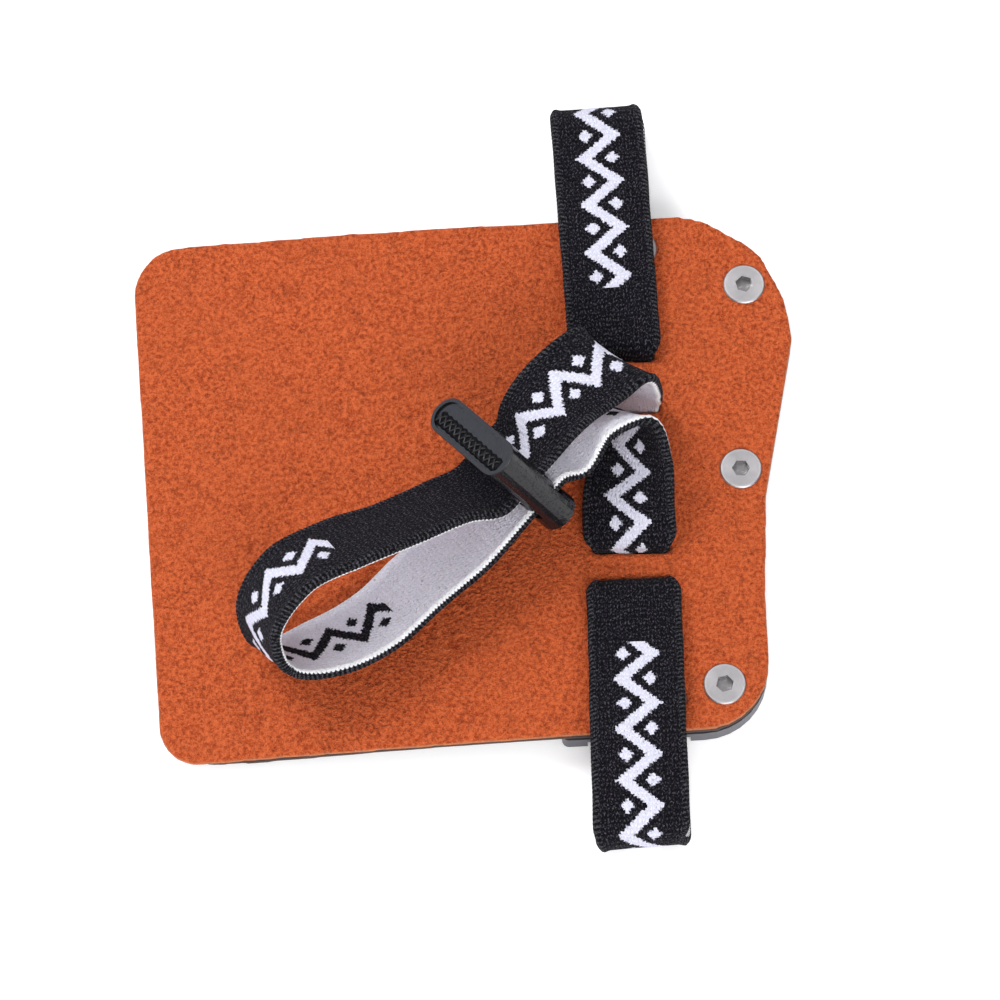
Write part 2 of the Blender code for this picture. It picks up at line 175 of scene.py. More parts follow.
FREE_LOOP = (
    (-3.1,  -7.3,  16.2,  -51,    37),
    (-9.8, -10.3,  17.5,  -51,    38),
    (-16.6, -13.0,  19.2,  -52,    35),
    (-23.3, -16.2,  19.6,  -50,    38),
    (-27.5, -21.0,  15.7,  -54,    45),
    (-26.2, -24.2,  11.0,  -57,    47),
    (-19.6, -23.1,   9.6,  -61,    33),
    (-13.1, -20.0,   9.2,  -60,    30),
    (-7.4,  -15.5,  10.2,  -58,    29),
    (-0.9,  -11.0,  11.1,  -57,    32),
)
LOWER_LEG = (
    (11.7,  -0.5,  13.9,  -58,    26),
    (15.5,   3.0,  15.4,  -58,    34),
    (20.3,   3.2,  13.7,  -43,    45),
    (20.4,  -1.3,  10.9,  -20,    28),
    (19.6,  -6.5,   8.7,  -11,    11),
)
SLIDER_AT = (4.2, -2.8, 15.9)
SLIDER_TURN, SLIDER_TILT, SLIDER_ROLL = -54.9, 29.6, 16.2
SLIDER_TOP = 7.6
GRIP_SIDE = -1.0            # which half of the top face has the ribs
UPPER_AT, LOWER_AT, SLIDER_REACH = (0.3, 0.1), (0.9, -3.1), 3.2


def pointing(turn, rise):
    turn, rise = math.radians(turn), math.radians(rise)
    return np.array([math.cos(rise) * math.cos(turn), math.cos(rise) * math.sin(turn), math.sin(rise)])


def rounded(corners, step=4.0):
    out = []
    count = len(corners)
    for i in range(count):
        here = np.array(corners[i][:2], float)
        one = np.array(corners[i - 1][:2], float) - here
        two = np.array(corners[(i + 1) % count][:2], float) - here
        la, lb = np.linalg.norm(one), np.linalg.norm(two)
        one, two = one / la, two / lb
        half = math.acos(max(-1.0, min(1.0, float(one @ two)))) / 2
        trim = min(corners[i][2] / math.tan(half), 0.48 * min(la, lb))
        radius = trim * math.tan(half)
        centre = here + (one + two) / np.linalg.norm(one + two) * radius / math.sin(half)
        start, end = here + one * trim - centre, here + two * trim - centre
        a0 = math.atan2(start[1], start[0])
        sweep = math.atan2(end[1], end[0]) - a0
        sweep = (sweep + math.pi) % (2 * math.pi) - math.pi
        n = max(2, math.ceil(abs(math.degrees(sweep)) / step))
        for k in range(n + 1):
            a = a0 + sweep * k / n
            out.append((centre[0] + radius * math.cos(a), centre[1] + radius * math.sin(a)))
    return out


def smooth_through(rows, first, last, fixed, per_span=40):
    pts = np.array(rows, float)
    chord = np.linalg.norm(np.diff(pts[:, :3], axis=0), axis=1)
    slope = np.diff(pts, axis=0) / chord[:, None]
    tangent = np.zeros_like(pts)
    tangent[1:-1] = (slope[:-1] * chord[1:, None] + slope[1:] * chord[:-1, None]) / (chord[:-1] + chord[1:])[:, None]
    tangent[0, :3], tangent[-1, :3] = first, last
    for i, heading in fixed.items():
        tangent[i, :3] = heading
        tangent[i, 3:] = 0.0
    out = []
    for i, h in enumerate(chord):
        for k in range(per_span):
            t = k / per_span
            out.append((2 * t ** 3 - 3 * t ** 2 + 1) * pts[i] + (t ** 3 - 2 * t ** 2 + t) * h * tangent[i]
                       + (3 * t ** 2 - 2 * t ** 3) * pts[i + 1] + (t ** 3 - t ** 2) * h * tangent[i + 1])
    out.append(pts[-1])
    return out


def ring_rows(name, side, far_end, lean_front, lean_back, far_turn):
    x0, y0, turn = SLOTS[name]
    reach = far_end - side * y0
    rows = []
    for u, z in rounded([(share * reach, z, r) for share, z, r in RING_FOLDS]):
        lean = lean_back + (lean_front - lean_back) * min(1.0, max(0.0, (z - 2.0) / 4.0))
        k = u / reach
        rows.append([x0 + lean * k, y0 + side * u, z, *pointing(turn + (far_turn - turn) * k, 0.0)])
    return rows


slider_len = Vector(pointing(SLIDER_TURN, SLIDER_TILT))
slider_up = (Vector((0, 0, 1)) - slider_len * slider_len.z).normalized()
slider_up.rotate(Matrix.Rotation(math.radians(SLIDER_ROLL), 3, slider_len))
slider_thru = slider_up.cross(slider_len)
slider_place = Matrix.Translation(Vector(SLIDER_AT) * MM) @ Matrix((slider_len, slider_thru, slider_up)).transposed().to_4x4()


def loop_rows():
    def at_slider(place, reach):
        return [*(Vector(SLIDER_AT) + slider_len * place[0] + slider_up * place[1] + slider_thru * reach), *slider_len]

    def table(rows):
        return [[x, y, z, *pointing(turn, rise)] for x, y, z, turn, rise in rows]

    def foot(slot, way):
        out = []
        for k in range(13):
            a = math.radians(90.0 * k / 12)
            out.append([slot[0], slot[1] + way * TURN_R * (1 - math.cos(a)), BACK_Z + TURN_R * (1 - math.sin(a)),
                        *pointing(slot[2], 0)])
        return out

    upper, lower = SLOTS["upper_leg"], SLOTS["lower_leg"]
    free = [[upper[0], upper[1], TOP_Z, *pointing(upper[2], 0)]] + table(UPPER_LEG)
    fixed = {len(free): -slider_thru, len(free) + 1: -slider_thru}
    free += [at_slider(UPPER_AT, SLIDER_REACH), at_slider(UPPER_AT, -SLIDER_REACH)] + table(FREE_LOOP)
    fixed.update({len(free): slider_thru, len(free) + 1: slider_thru})
    free += [at_slider(LOWER_AT, -SLIDER_REACH), at_slider(LOWER_AT, SLIDER_REACH)] + table(LOWER_LEG)
    free += [[lower[0], lower[1], TOP_Z, *pointing(lower[2], 0)]]
    return smooth_through(free, (0, 0, 1), (0, 0, -1), fixed) + foot(lower, 1) + foot(upper, -1)[::-1]


def resample(rows, step):
    """Points at even distances along a closed path, lightly smoothed."""
    rows = np.array(rows, float)
    keep = np.linalg.norm(rows[:, :3] - np.roll(rows[:, :3], 1, axis=0), axis=1) > 1e-4
    rows = rows[keep]
    closed = np.vstack([rows, rows[:1]])
    run = np.concatenate([[0.0], np.cumsum(np.linalg.norm(np.diff(closed[:, :3], axis=0), axis=1))])
    count = int(round(run[-1] / step))
    at = np.arange(count) * run[-1] / count
    out = np.stack([np.interp(at, run, closed[:, k]) for k in range(6)], axis=1)
    for _ in range(6):
        out = 0.5 * out + 0.25 * (np.roll(out, 1, axis=0) + np.roll(out, -1, axis=0))
    return out, at, run[-1]


# ================================================================ woven elastic
COURSE, WALE, CHAIN = 0.62, 0.48, 0.56        # mm: stitch length, stitch width, edge chain pitch
MOTIF_PITCH, MOTIF_H = 6.6, 2.65              # mm: repeat along the elastic, half height across it


def zigzag(x):
    """Triangle wave from -1 to 1, period 1."""
    return 4 * np.abs(x - np.floor(x + 0.5)) - 1


def motif_value(phase, across):
    """Above zero on the pale figure: a zig-zag stripe with a small diamond in each of its bends."""
    x = phase / MOTIF_PITCH
    stripe = 1.05 - np.abs(across - zigzag(x) * (MOTIF_H - 0.65))
    cell = x - np.floor(x)
    low = 0.95 - (np.abs((cell - 0.5) * MOTIF_PITCH) + np.abs(across + (MOTIF_H - 1.0)))
    wrapped = np.minimum(cell, 1 - cell)
    high = 0.95 - (np.abs(wrapped * MOTIF_PITCH) + np.abs(across - (MOTIF_H - 1.0)))
    return np.maximum(np.maximum(stripe, low), high)


def drawn_in(p):
    """How much each station's half width shrinks, mm: rounded corners at a slot's mouth and at a ring's far end."""
    amount = np.zeros(len(p))
    round_r = 1.5
    for x, y, _ in SLOTS.values():
        beside = np.abs(p[:, 1] - y)
        near = (np.abs(p[:, 0] - x) < 6) & (beside < round_r) & (p[:, 2] > 2.2) & (p[:, 2] < 12)
        bite = round_r - np.sqrt(np.maximum(0.0, round_r ** 2 - (round_r - beside) ** 2))
        amount = np.where(near, np.maximum(amount, np.minimum(bite, 1.15)), amount)
    far = np.clip((np.abs(p[:, 1]) - 48.3) / 1.3, 0, 1)
    amount = np.maximum(amount, 0.9 * (1 - np.sqrt(1 - far ** 2)))
    for _ in range(5):
        amount = 0.5 * amount + 0.25 * (np.roll(amount, 1) + np.roll(amount, -1))
    return amount


def elastic(name, rows, out_sign, motif_spans, step=0.2):
    """A closed ring of elastic as a swept mesh, with its selvedges, and the coordinates its material needs."""
    path, along, total = resample(rows, step)
    p, w = path[:, :3], path[:, 3:]
    t = np.roll(p, -1, axis=0) - np.roll(p, 1, axis=0)
    t /= np.linalg.norm(t, axis=1)[:, None]
    w = w - t * (w * t).sum(1)[:, None]
    w /= np.linalg.norm(w, axis=1)[:, None]
    n = out_sign * np.cross(t, w)

    flat = 5.4                                  # half width of the flat part, then the selvedge
    cols = 30
    across, lift, face = [], [], []
    for k in range(cols + 1):
        across.append(-flat + 2 * flat * k / cols)
        lift.append(0.5)
        face.append(0.0)
    for k in range(1, 10):
        a = math.pi * k / 10
        across.append(flat + 0.6 * math.sin(a))
        lift.append(0.5 * math.cos(a))
        face.append(k / 10)
    for k in range(cols + 1):
        across.append(flat - 2 * flat * k / cols)
        lift.append(-0.5)
        face.append(1.0)
    for k in range(1, 10):
        a = math.pi * k / 10
        across.append(-flat - 0.6 * math.sin(a))
        lift.append(-0.5 * math.cos(a))
        face.append(1 - k / 10)
    across, lift, face = map(np.array, (across, lift, face))
    rows_n, cols_n = len(p), len(across)

    A = np.repeat(along[:, None], cols_n, 1)
    V = np.repeat(across[None, :], rows_n, 0)
    F = np.repeat(face[None, :], rows_n, 0)
    inside = np.zeros((rows_n, 1))
    for start, end in motif_spans:
        inside[(along >= start) & (along <= end)] = 1.0
    inside = np.repeat(inside, cols_n, 1)

    edge = np.clip((np.abs(V) - flat) / 0.6, 0, 1)
    chain = 0.5 + 0.5 * np.cos(2 * math.pi * (A / CHAIN + 0.25 * np.sign(V)))
    course = np.cos(2 * math.pi * A / (2 * COURSE))
    slow = (np.sin(A * 0.83 + 1.3) + np.sin(A * 0.37 + V * 0.21) + np.sin(A * 0.19 + 2.0)) / 3
    figure = np.clip(motif_value(A, V) / 0.35, 0, 1) * inside * (F < 0.5)
    raised = 1.0 + 0.10 * figure + 0.035 * course * (1 - edge) + 0.03 * slow
    raised += np.exp(-((np.abs(V) - flat - 0.08) / 0.46) ** 2) * (0.22 + 0.15 * chain)    # rope-like selvedge
    spread = V * (1.0 - drawn_in(p) / 6.0)[:, None] + np.sign(V) * edge * (0.03 * chain + 0.07 * slow - 0.01)
    co = (p[:, None, :] + w[:, None, :] * spread[:, :, None]
          + n[:, None, :] * (lift[None, :] * raised * 1.14)[:, :, None]).reshape(-1, 3) * MM

    i, j = np.meshgrid(np.arange(rows_n), np.arange(cols_n), indexing="ij")
    i2, j2 = (i + 1) % rows_n, (j + 1) % cols_n
    quads = np.stack([i * cols_n + j, i2 * cols_n + j, i2 * cols_n + j2, i * cols_n + j2], -1).reshape(-1, 4)
    if out_sign > 0:
        quads = quads[:, ::-1]
    mesh = bpy.data.meshes.new(name)
    mesh.from_pydata(co.tolist(), [], quads.tolist())
    for key, values in (("along", A), ("across", V), ("face", F), ("motif", inside)):
        attribute = mesh.attributes.new(key, "FLOAT", "POINT")
        attribute.data.foreach_set("value", values.reshape(-1).astype(np.float32))
    mesh.shade_smooth()
    mesh.validate()
    obj = bpy.data.objects.new(name + "_woven", mesh)
    scene.collection.objects.link(obj)
    return obj


def elastic_material():
    net = Net("elastic_knit", rough=0.95, spec=0.07)
    along, across, face, on = (net.attribute(k) for k in ("along", "across", "face", "motif"))
    where = net.coords()
    flat = net.tree.nodes.new("ShaderNodeCombineXYZ")       # millimetres along and across the elastic
    for socket, value in zip(flat.inputs, (net.math("MULTIPLY", along, 0.75), across, net.math("MULTIPLY", face, 2.0))):
        net.feed(socket, value)
    strand = net.add("ShaderNodeTexNoise", Vector=flat.outputs[0], Scale=1.0 / 0.22, Detail=2.0,
                     Roughness=0.6).outputs["Fac"]

    # knitted stitches: rows of small vees
    sway = net.math("MULTIPLY", net.math("SUBTRACT", net.noise(where, 0.8, 2.0), 0.5), 0.55)
    wale = net.math("DIVIDE", net.math("ADD", across, sway), WALE)
    cell = net.math("SUBTRACT", net.math("FRACT", net.math("ADD", wale, 100.0)), 0.5)
    side = net.math("ABSOLUTE", cell)
    wobble = net.math("MULTIPLY", net.math("SUBTRACT", net.noise(where, 0.7, 2.0), 0.5), 1.7)
    course = net.math("ADD", net.math("DIVIDE", along, COURSE), net.math("MULTIPLY", side, 1.1))
    course = net.math("ADD", course, wobble)
    ridge = net.math("MULTIPLY_ADD", net.math("SINE", net.math("MULTIPLY", course, 2 * math.pi)), 0.5, 0.5)
    groove = net.math("SUBTRACT", 1.0, net.math("POWER", net.math("MULTIPLY", side, 2.0), 3.0))
    stitch = net.math("MULTIPLY", ridge, groove)
    fibre = net.noise(where, 0.16, 3.0, 0.7)
    fluff = net.noise(where, 0.55, 3.0, 0.65)
    height = net.math("ADD", net.math("MULTIPLY", stitch, 0.8), net.math("MULTIPLY", fibre, 1.2))

    # the figure, with the stepped, fluffy outline that stitches give it
    jitter_a = net.math("MULTIPLY", net.math("SUBTRACT", fluff, 0.5), 0.75)
    jitter_v = net.math("MULTIPLY", net.math("SUBTRACT", net.noise(where, 0.42, 2.0), 0.5), 0.55)

    def snapped(value, pitch, jitter):
        cells = net.math("FLOOR", net.math("DIVIDE", net.math("ADD", value, jitter), pitch))
        return net.math("MULTIPLY", net.math("ADD", cells, 0.5), pitch)

    a = snapped(along, COURSE / 2, jitter_a)
    v = snapped(across, WALE / 2, jitter_v)
    x = net.math("DIVIDE", a, MOTIF_PITCH)
    near = net.math("FLOOR", net.math("ADD", x, 0.5))
    wave = net.math("MULTIPLY_ADD", net.math("ABSOLUTE", net.math("SUBTRACT", x, near)), 4.0, -1.0)
    stripe = net.math("SUBTRACT", 1.05, net.math(
        "ABSOLUTE", net.math("SUBTRACT", v, net.math("MULTIPLY", wave, MOTIF_H - 0.65))))
    part = net.math("FRACT", net.math("ADD", x, 50.0))
    mid = net.math("ABSOLUTE", net.math("MULTIPLY", net.math("SUBTRACT", part, 0.5), MOTIF_PITCH))
    low = net.math("SUBTRACT", 0.95, net.math("ADD", mid, net.math("ABSOLUTE", net.math("ADD", v, MOTIF_H - 1.0))))
    end = net.math("MULTIPLY", net.math("MINIMUM", part, net.math("SUBTRACT", 1.0, part)), MOTIF_PITCH)
    high = net.math("SUBTRACT", 0.95, net.math(
        "ADD", end, net.math("ABSOLUTE", net.math("SUBTRACT", v, MOTIF_H - 1.0))))
    shape = net.math("MAXIMUM", stripe, net.math("MAXIMUM", low, high))
    figure = net.math("MULTIPLY", net.step(shape, -0.06, 0.06), net.math("GREATER_THAN", on, 0.5))

    # which yarn shows: dark outside, pale inside, a dark rope along the edge and pale teeth at its inner corner; the
    # teeth are painted near white, a painted highlight where the edge catches light
    notch = net.math("MULTIPLY", net.math("ABSOLUTE", net.math("SINE", net.math(
        "MULTIPLY", along, math.pi / 0.50))), 0.11)
    inner = net.step(net.math("ADD", face, notch), 0.76, 0.81)
    is_edge = net.step(net.math("ABSOLUTE", across), 5.25, 5.45)
    rope = net.math("MULTIPLY", net.step(net.math("ABSOLUTE", across), 5.05, 5.25),
                    net.math("SUBTRACT", 1.0, inner))
    body = net.math("ABSOLUTE", net.math("SUBTRACT", inner, figure))
    pale = net.math("MULTIPLY", body, net.math("SUBTRACT", 1.0, rope))

    chain = net.math("MULTIPLY_ADD", net.math("COSINE", net.math(
        "ADD", net.math("MULTIPLY", along, 2 * math.pi / CHAIN), net.math("MULTIPLY", across, 3.0))), 0.5, 0.5)
    lint = net.noise(where, 0.23, 2.0, 0.6)
    speck = net.math("ADD", net.math("MULTIPLY", strand, 0.62), net.math("MULTIPLY", fibre, 0.34))
    speck = net.step(net.math("MULTIPLY_ADD", stitch, 0.07, speck), 0.525, 0.64)
    # painted shade: the dark yarn is darker in the grooves between the stitches and lighter on the stitch tops, as
    # light and shade fall on them; the fluff noise adds the yarn's own variation
    dark = net.mix(net.math("MULTIPLY", stitch, net.math("MULTIPLY", fluff, 1.8)),
                   (0.0028, 0.0025, 0.0036, 1), (0.0115, 0.0105, 0.0150, 1))
    dark = net.mix(net.math("MULTIPLY", speck, 0.9), dark, (0.082, 0.077, 0.095, 1))
    edging = net.mix(net.step(net.math("MULTIPLY_ADD", chain, 0.24, net.math("ADD", fibre, lint)), 1.04, 1.40),
                     (0.0026, 0.0025, 0.0034, 1), (0.074, 0.073, 0.086, 1))
    dark = net.mix(rope, dark, edging)
    # painted shade: the pale yarn is darker in the grooves between the stitches and brighter on their tops, as light
    # and shade fall on them; the fibre noise is the yarn's own variation
    light = net.mix(net.math("MULTIPLY_ADD", stitch, 0.55, net.math("MULTIPLY", fibre, 0.45)),
                    (0.82, 0.805, 0.95, 1), (0.99, 0.98, 1.0, 1))
    pale_outside = net.mix(net.math("MULTIPLY_ADD", stitch, 0.55, net.math("MULTIPLY", fibre, 0.45)),
                   (0.56, 0.555, 0.68, 1), (0.83, 0.825, 0.93, 1))
    # painted light: the pale yarn on the inside face gets a brighter colour than the same yarn on the outside, standing
    # in for the light that the inside face, shaded by the elastic above it, does not get
    light = net.mix(inner, pale_outside, light)
    both = net.mix(pale, dark, light)
    # painted highlight: the pale teeth along the inner corner of the edge are near white, brighter than the inside face
    # beside them
    net.set(Base_Color=net.mix(net.math("MULTIPLY", inner, is_edge), both, (0.98, 0.98, 1.0, 1)))
    depth = net.math("MULTIPLY_ADD", inner, 0.45, 0.60)
    raise_ = net.math("ADD", net.math("MULTIPLY", height, depth), net.math("MULTIPLY", figure, 0.6))
    raise_ = net.math("ADD", raise_, net.math("MULTIPLY", net.math("MULTIPLY", chain, rope), 0.50))
    net.set(Normal=net.bump(raise_, 0.20, 1.0))
    net.bsdf.inputs["Sheen Weight"].default_value = 0.02
    net.bsdf.inputs["Sheen Roughness"].default_value = 0.45
    net.bsdf.inputs["Sheen Tint"].default_value = (0.85, 0.86, 0.95, 1)
    return net.mat


knit = elastic_material()
MOTIFS = {
    "upper_ring": ((14.85, 54.45),),
    "lower_ring": ((14.85, 54.45),),
    "middle_loop": ((11.55, 31.0), (57.75, 94.05), (130.0, 160.05)),
}
bands = []
for row in RINGS:
    bands.append((row[0], elastic(row[0], ring_rows(*row), -row[1], MOTIFS[row[0]])))
bands.append(("middle_loop", elastic("middle_loop", loop_rows(), 1, MOTIFS["middle_loop"])))
for name, obj in bands:
    obj.data.materials.append(knit)
    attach(obj, "root")
    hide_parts(name)


# ================================================================ suede and leather
SCREWS = {
    # name               x      y
    "screw_top":         (36.85,  23.7),
    "screw_middle":      (34.35,  -1.6),
    "screw_bottom":      (29.95, -30.2),
    "screw_inner_top":   (23.3,   29.7),
    "screw_inner_bottom": (22.3, -31.5),
}
bores = list(SCREWS.values())


def sheet_from(node, name, levels, bore_r, voxel_mm, lower_mm, nap_mm, fluff_mm):
    """A cut hide with softened edges and an uneven surface, from the flat shape of the CAD sheet."""
    work = bpy.data.objects.new("work", nodes[node].data.copy())
    scene.collection.objects.link(work)
    bm = bmesh.new()
    bm.from_mesh(work.data)
    bmesh.ops.remove_doubles(bm, verts=bm.verts, dist=1e-6)
    bmesh.ops.recalc_face_normals(bm, faces=bm.faces)
    z0, z1 = levels[0] + 0.05, levels[1] - 0.05
    for x, y, turn in SLOTS.values():                       # the hide closes up round the elastic
        spin = Matrix.Translation(Vector((x, y, 0)) * MM) @ Matrix.Rotation(math.radians(turn), 4, "Z")
        for cx, cy, sx, sy in ((-6.15, 0, 2.3, 2.6), (6.15, 0, 2.3, 2.6), (0, 1.05, 14.0, 0.6), (0, -1.05, 14.0, 0.6)):
            made = bmesh.ops.create_cube(bm, size=1.0)
            for vert in made["verts"]:
                vert.co = spin @ (Vector((cx + vert.co.x * sx, cy + vert.co.y * sy,
                                          z0 + (vert.co.z + 0.5) * (z1 - z0))) * MM)
    for x, y in bores:                                      # and round each screw's head
        steps = 40
        for k in range(steps):
            a, b = (2 * math.pi * q / steps for q in (k, k + 1.15))
            ring = [(math.cos(q) * r + x, math.sin(q) * r + y) for q, r in
                    ((a, bore_r), (b, bore_r), (b, bore_r + 0.75), (a, bore_r + 0.75))]
            verts = [bm.verts.new(Vector((u, v, z)) * MM) for z in (z0, z1) for u, v in ring]
            for f in ((3, 2, 1, 0), (4, 5, 6, 7), (0, 1, 5, 4), (1, 2, 6, 5), (2, 3, 7, 6), (3, 0, 4, 7)):
                bm.faces.new([verts[q] for q in f])
    bm.to_mesh(work.data)
    bm.free()
    re = work.modifiers.new("remesh", "REMESH")
    re.mode = "VOXEL"
    re.voxel_size = voxel_mm * MM
    soft = work.modifiers.new("soften", "SMOOTH")
    soft.factor = 0.5
    soft.iterations = 3
    bpy.context.view_layer.update()
    mesh = bpy.data.meshes.new_from_object(work.evaluated_get(bpy.context.evaluated_depsgraph_get()))
    bpy.data.objects.remove(work, do_unlink=True)
    mesh.name = name
    count = len(mesh.vertices)
    co = np.empty(count * 3)
    no = np.empty(count * 3)
    mesh.vertices.foreach_get("co", co)
    mesh.vertex_normals.foreach_get("vector", no)
    co, no = co.reshape(-1, 3), no.reshape(-1, 3)
    x, y = co[:, 0] / MM, co[:, 1] / MM
    rng = np.random.default_rng(7)
    rough = np.zeros(count)
    for size, share in ((9.0, 0.9), (4.0, 0.7), (1.9, 0.6), (1.1, 0.45)):
        for _ in range(4):
            a = rng.uniform(0, math.pi)
            rough += share / 4 * np.sin((x * math.cos(a) + y * math.sin(a)) * 2 * math.pi / size + rng.uniform(0, 6.28))
    co += no * (rough * nap_mm * MM)[:, None]
    side = np.clip((0.8 - np.abs(no[:, 2])) / 0.5, 0, 1)            # the cut edge's fluff stands a little proud
    co[:, :2] += no[:, :2] * (side * fluff_mm * MM)[:, None]
    under = np.clip(-no[:, 2], 0, 1) * (x > 9.0)
    co[:, 2] -= under * lower_mm * MM
    mesh.vertices.foreach_set("co", co.reshape(-1))
    mesh.shade_smooth()
    mesh.materials.clear()
    obj = bpy.data.objects.new(name, mesh)
    scene.collection.objects.link(obj)
    return obj


def suede_material():
    net = Net("suede_nap", rough=0.95, spec=0.12)
    where = net.coords()
    swirl = net.add("ShaderNodeTexNoise", Vector=where, Scale=1.0 / (0.6 * MM), Detail=3.0, Roughness=0.6)
    shift = net.add("ShaderNodeVectorMath", {"operation": "MULTIPLY_ADD"})
    net.feed(shift.inputs[0], swirl.outputs["Color"])
    net.feed(shift.inputs[1], (0.55 * MM,) * 3)
    net.feed(shift.inputs[2], where)
    pebble = net.add("ShaderNodeTexVoronoi", {"feature": "SMOOTH_F1"}, Vector=shift.outputs[0],
                     Scale=1.0 / (0.56 * MM), Smoothness=0.22).outputs["Distance"]
    cracks = net.add("ShaderNodeTexVoronoi", {"feature": "DISTANCE_TO_EDGE"}, Vector=shift.outputs[0],
                     Scale=1.0 / (1.25 * MM)).outputs["Distance"]
    crack = net.math("MULTIPLY", net.math("SUBTRACT", 1.0, net.step(cracks, 0.010, 0.060)),
                     net.step(net.noise(where, 2.4, 2.0, 0.5), 0.50, 0.66))
    nap = net.noise(where, 0.17, 2.0, 0.6)
    fibre = net.noise(where, 0.13, 2.0, 0.6)
    cloud = net.noise(where, 14.0, 2.0, 0.5)
    grain = net.noise(where, 0.50, 3.0, 0.60, 0.15)
    # partly painted shade: the tone follows the same grain, nap and pebble noise as the bump below, so the hollows of
    # the grain are darker and its raised points lighter; part of the spread is the nap's own colour
    tone = net.math("SUBTRACT", net.math("ADD", net.math("MULTIPLY", nap, 0.6), net.math("MULTIPLY", grain, 0.75)),
                    net.math("MULTIPLY", pebble, 0.18))
    base = net.mix(net.step(tone, 0.34, 0.80), (0.285, 0.034, 0.0078, 1), (0.685, 0.139, 0.0415, 1))
    base = net.mix(net.math("MULTIPLY", net.step(cloud, 0.40, 0.70), 0.12), base, (0.50, 0.10, 0.03, 1))
    # painted shade: the hairline cracks are darkened, as shade in them
    base = net.mix(net.math("MULTIPLY", crack, 0.22), base, (0.13, 0.016, 0.005, 1))
    # partly the fibres' own paler tips, partly painted highlight: whitish fibre tips stand in for glints on the nap
    base = net.mix(net.math("MULTIPLY", net.step(fibre, 0.58, 0.74), 0.42), base, (0.66, 0.27, 0.165, 1))
    side = net.add("ShaderNodeSeparateXYZ", Vector=net.add("ShaderNodeNewGeometry").outputs["Normal"]).outputs["Z"]
    cut = net.math("SUBTRACT", 1.0, net.step(net.math("ABSOLUTE", side), 0.30, 0.75))
    base = net.mix(net.math("MULTIPLY", cut, 0.70), base, (0.60, 0.235, 0.11, 1))
    net.set(Base_Color=base)
    height = net.math("SUBTRACT", net.math("MULTIPLY", grain, 1.75), net.math("MULTIPLY", pebble, 0.35))
    height = net.math("ADD", height, net.math("MULTIPLY", nap, 0.42))
    height = net.math("ADD", height, net.math("MULTIPLY", fibre, 0.10))
    height = net.math("SUBTRACT", height, net.math("MULTIPLY", crack, 0.30))
    net.set(Normal=net.bump(height, 0.42, 1.0))
    net.bsdf.inputs["Sheen Weight"].default_value = 0.04
    net.bsdf.inputs["Sheen Roughness"].default_value = 0.5
    net.bsdf.inputs["Sheen Tint"].default_value = (1.0, 0.55, 0.30, 1)
    return net.mat


def leather_material():
    net = Net("dark_leather_grain", rough=0.55, spec=0.35)
    where = net.coords()
    pores = net.cells(where, 0.75).outputs["Distance"]
    wrinkle = net.noise(where, 2.2, 4.0, 0.6, 0.8)
    fibre = net.noise(where, 0.25, 3.0, 0.7)
    base = net.mix(wrinkle, (0.020, 0.012, 0.010, 1), (0.062, 0.036, 0.028, 1))
    side = net.add("ShaderNodeSeparateXYZ", Vector=net.add("ShaderNodeNewGeometry").outputs["Normal"]).outputs["Z"]
    cut = net.math("SUBTRACT", 1.0, net.step(net.math("ABSOLUTE", side), 0.30, 0.75))
    base = net.mix(net.math("MULTIPLY", cut, fibre), base, (0.115, 0.070, 0.055, 1))
    net.set(Base_Color=base, Roughness=net.math("MULTIPLY_ADD", cut, 0.35, 0.50))
    height = net.math("ADD", net.math("MULTIPLY", pores, 0.6), net.math("MULTIPLY", wrinkle, 0.5))
    net.set(Normal=net.bump(net.math("ADD", height, net.math("MULTIPLY", fibre, cut)), 0.18, 0.6))
    return net.mat


suede = sheet_from("suede_facing", "suede_facing_nap", (4.4, 5.6), 2.60, 0.40, 0.12, 0.035, 0.11)
suede.data.materials.append(suede_material())
leather = sheet_from("string_face", "string_face_leather", (3.1, 4.1), 1.9, 0.45, 0.20, 0.015, 0.0)
leather.data.materials.append(leather_material())
for obj, node, slot_name in ((suede, "suede_facing", "suede"), (leather, "string_face", "dark_leather")):
    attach(obj, "root")
    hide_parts(node)


# ================================================================ plate, screws, slider
def plate_material():
    net = Net("anodised_grey", rough=0.42, metal=0.85)
    where = net.coords()
    blast = net.noise(where, 0.12, 2.0, 0.5)
    cloud = net.noise(where, 7.0, 3.0, 0.5)
    net.set(Base_Color=net.mix(net.math("MULTIPLY_ADD", cloud, 0.6, net.math("MULTIPLY", blast, 0.4)),
                               (0.085, 0.085, 0.098, 1), (0.17, 0.17, 0.19, 1)),
            Roughness=net.math("MULTIPLY_ADD", blast, 0.25, 0.32),
            Normal=net.bump(blast, 0.02, 0.5))
    return net.mat


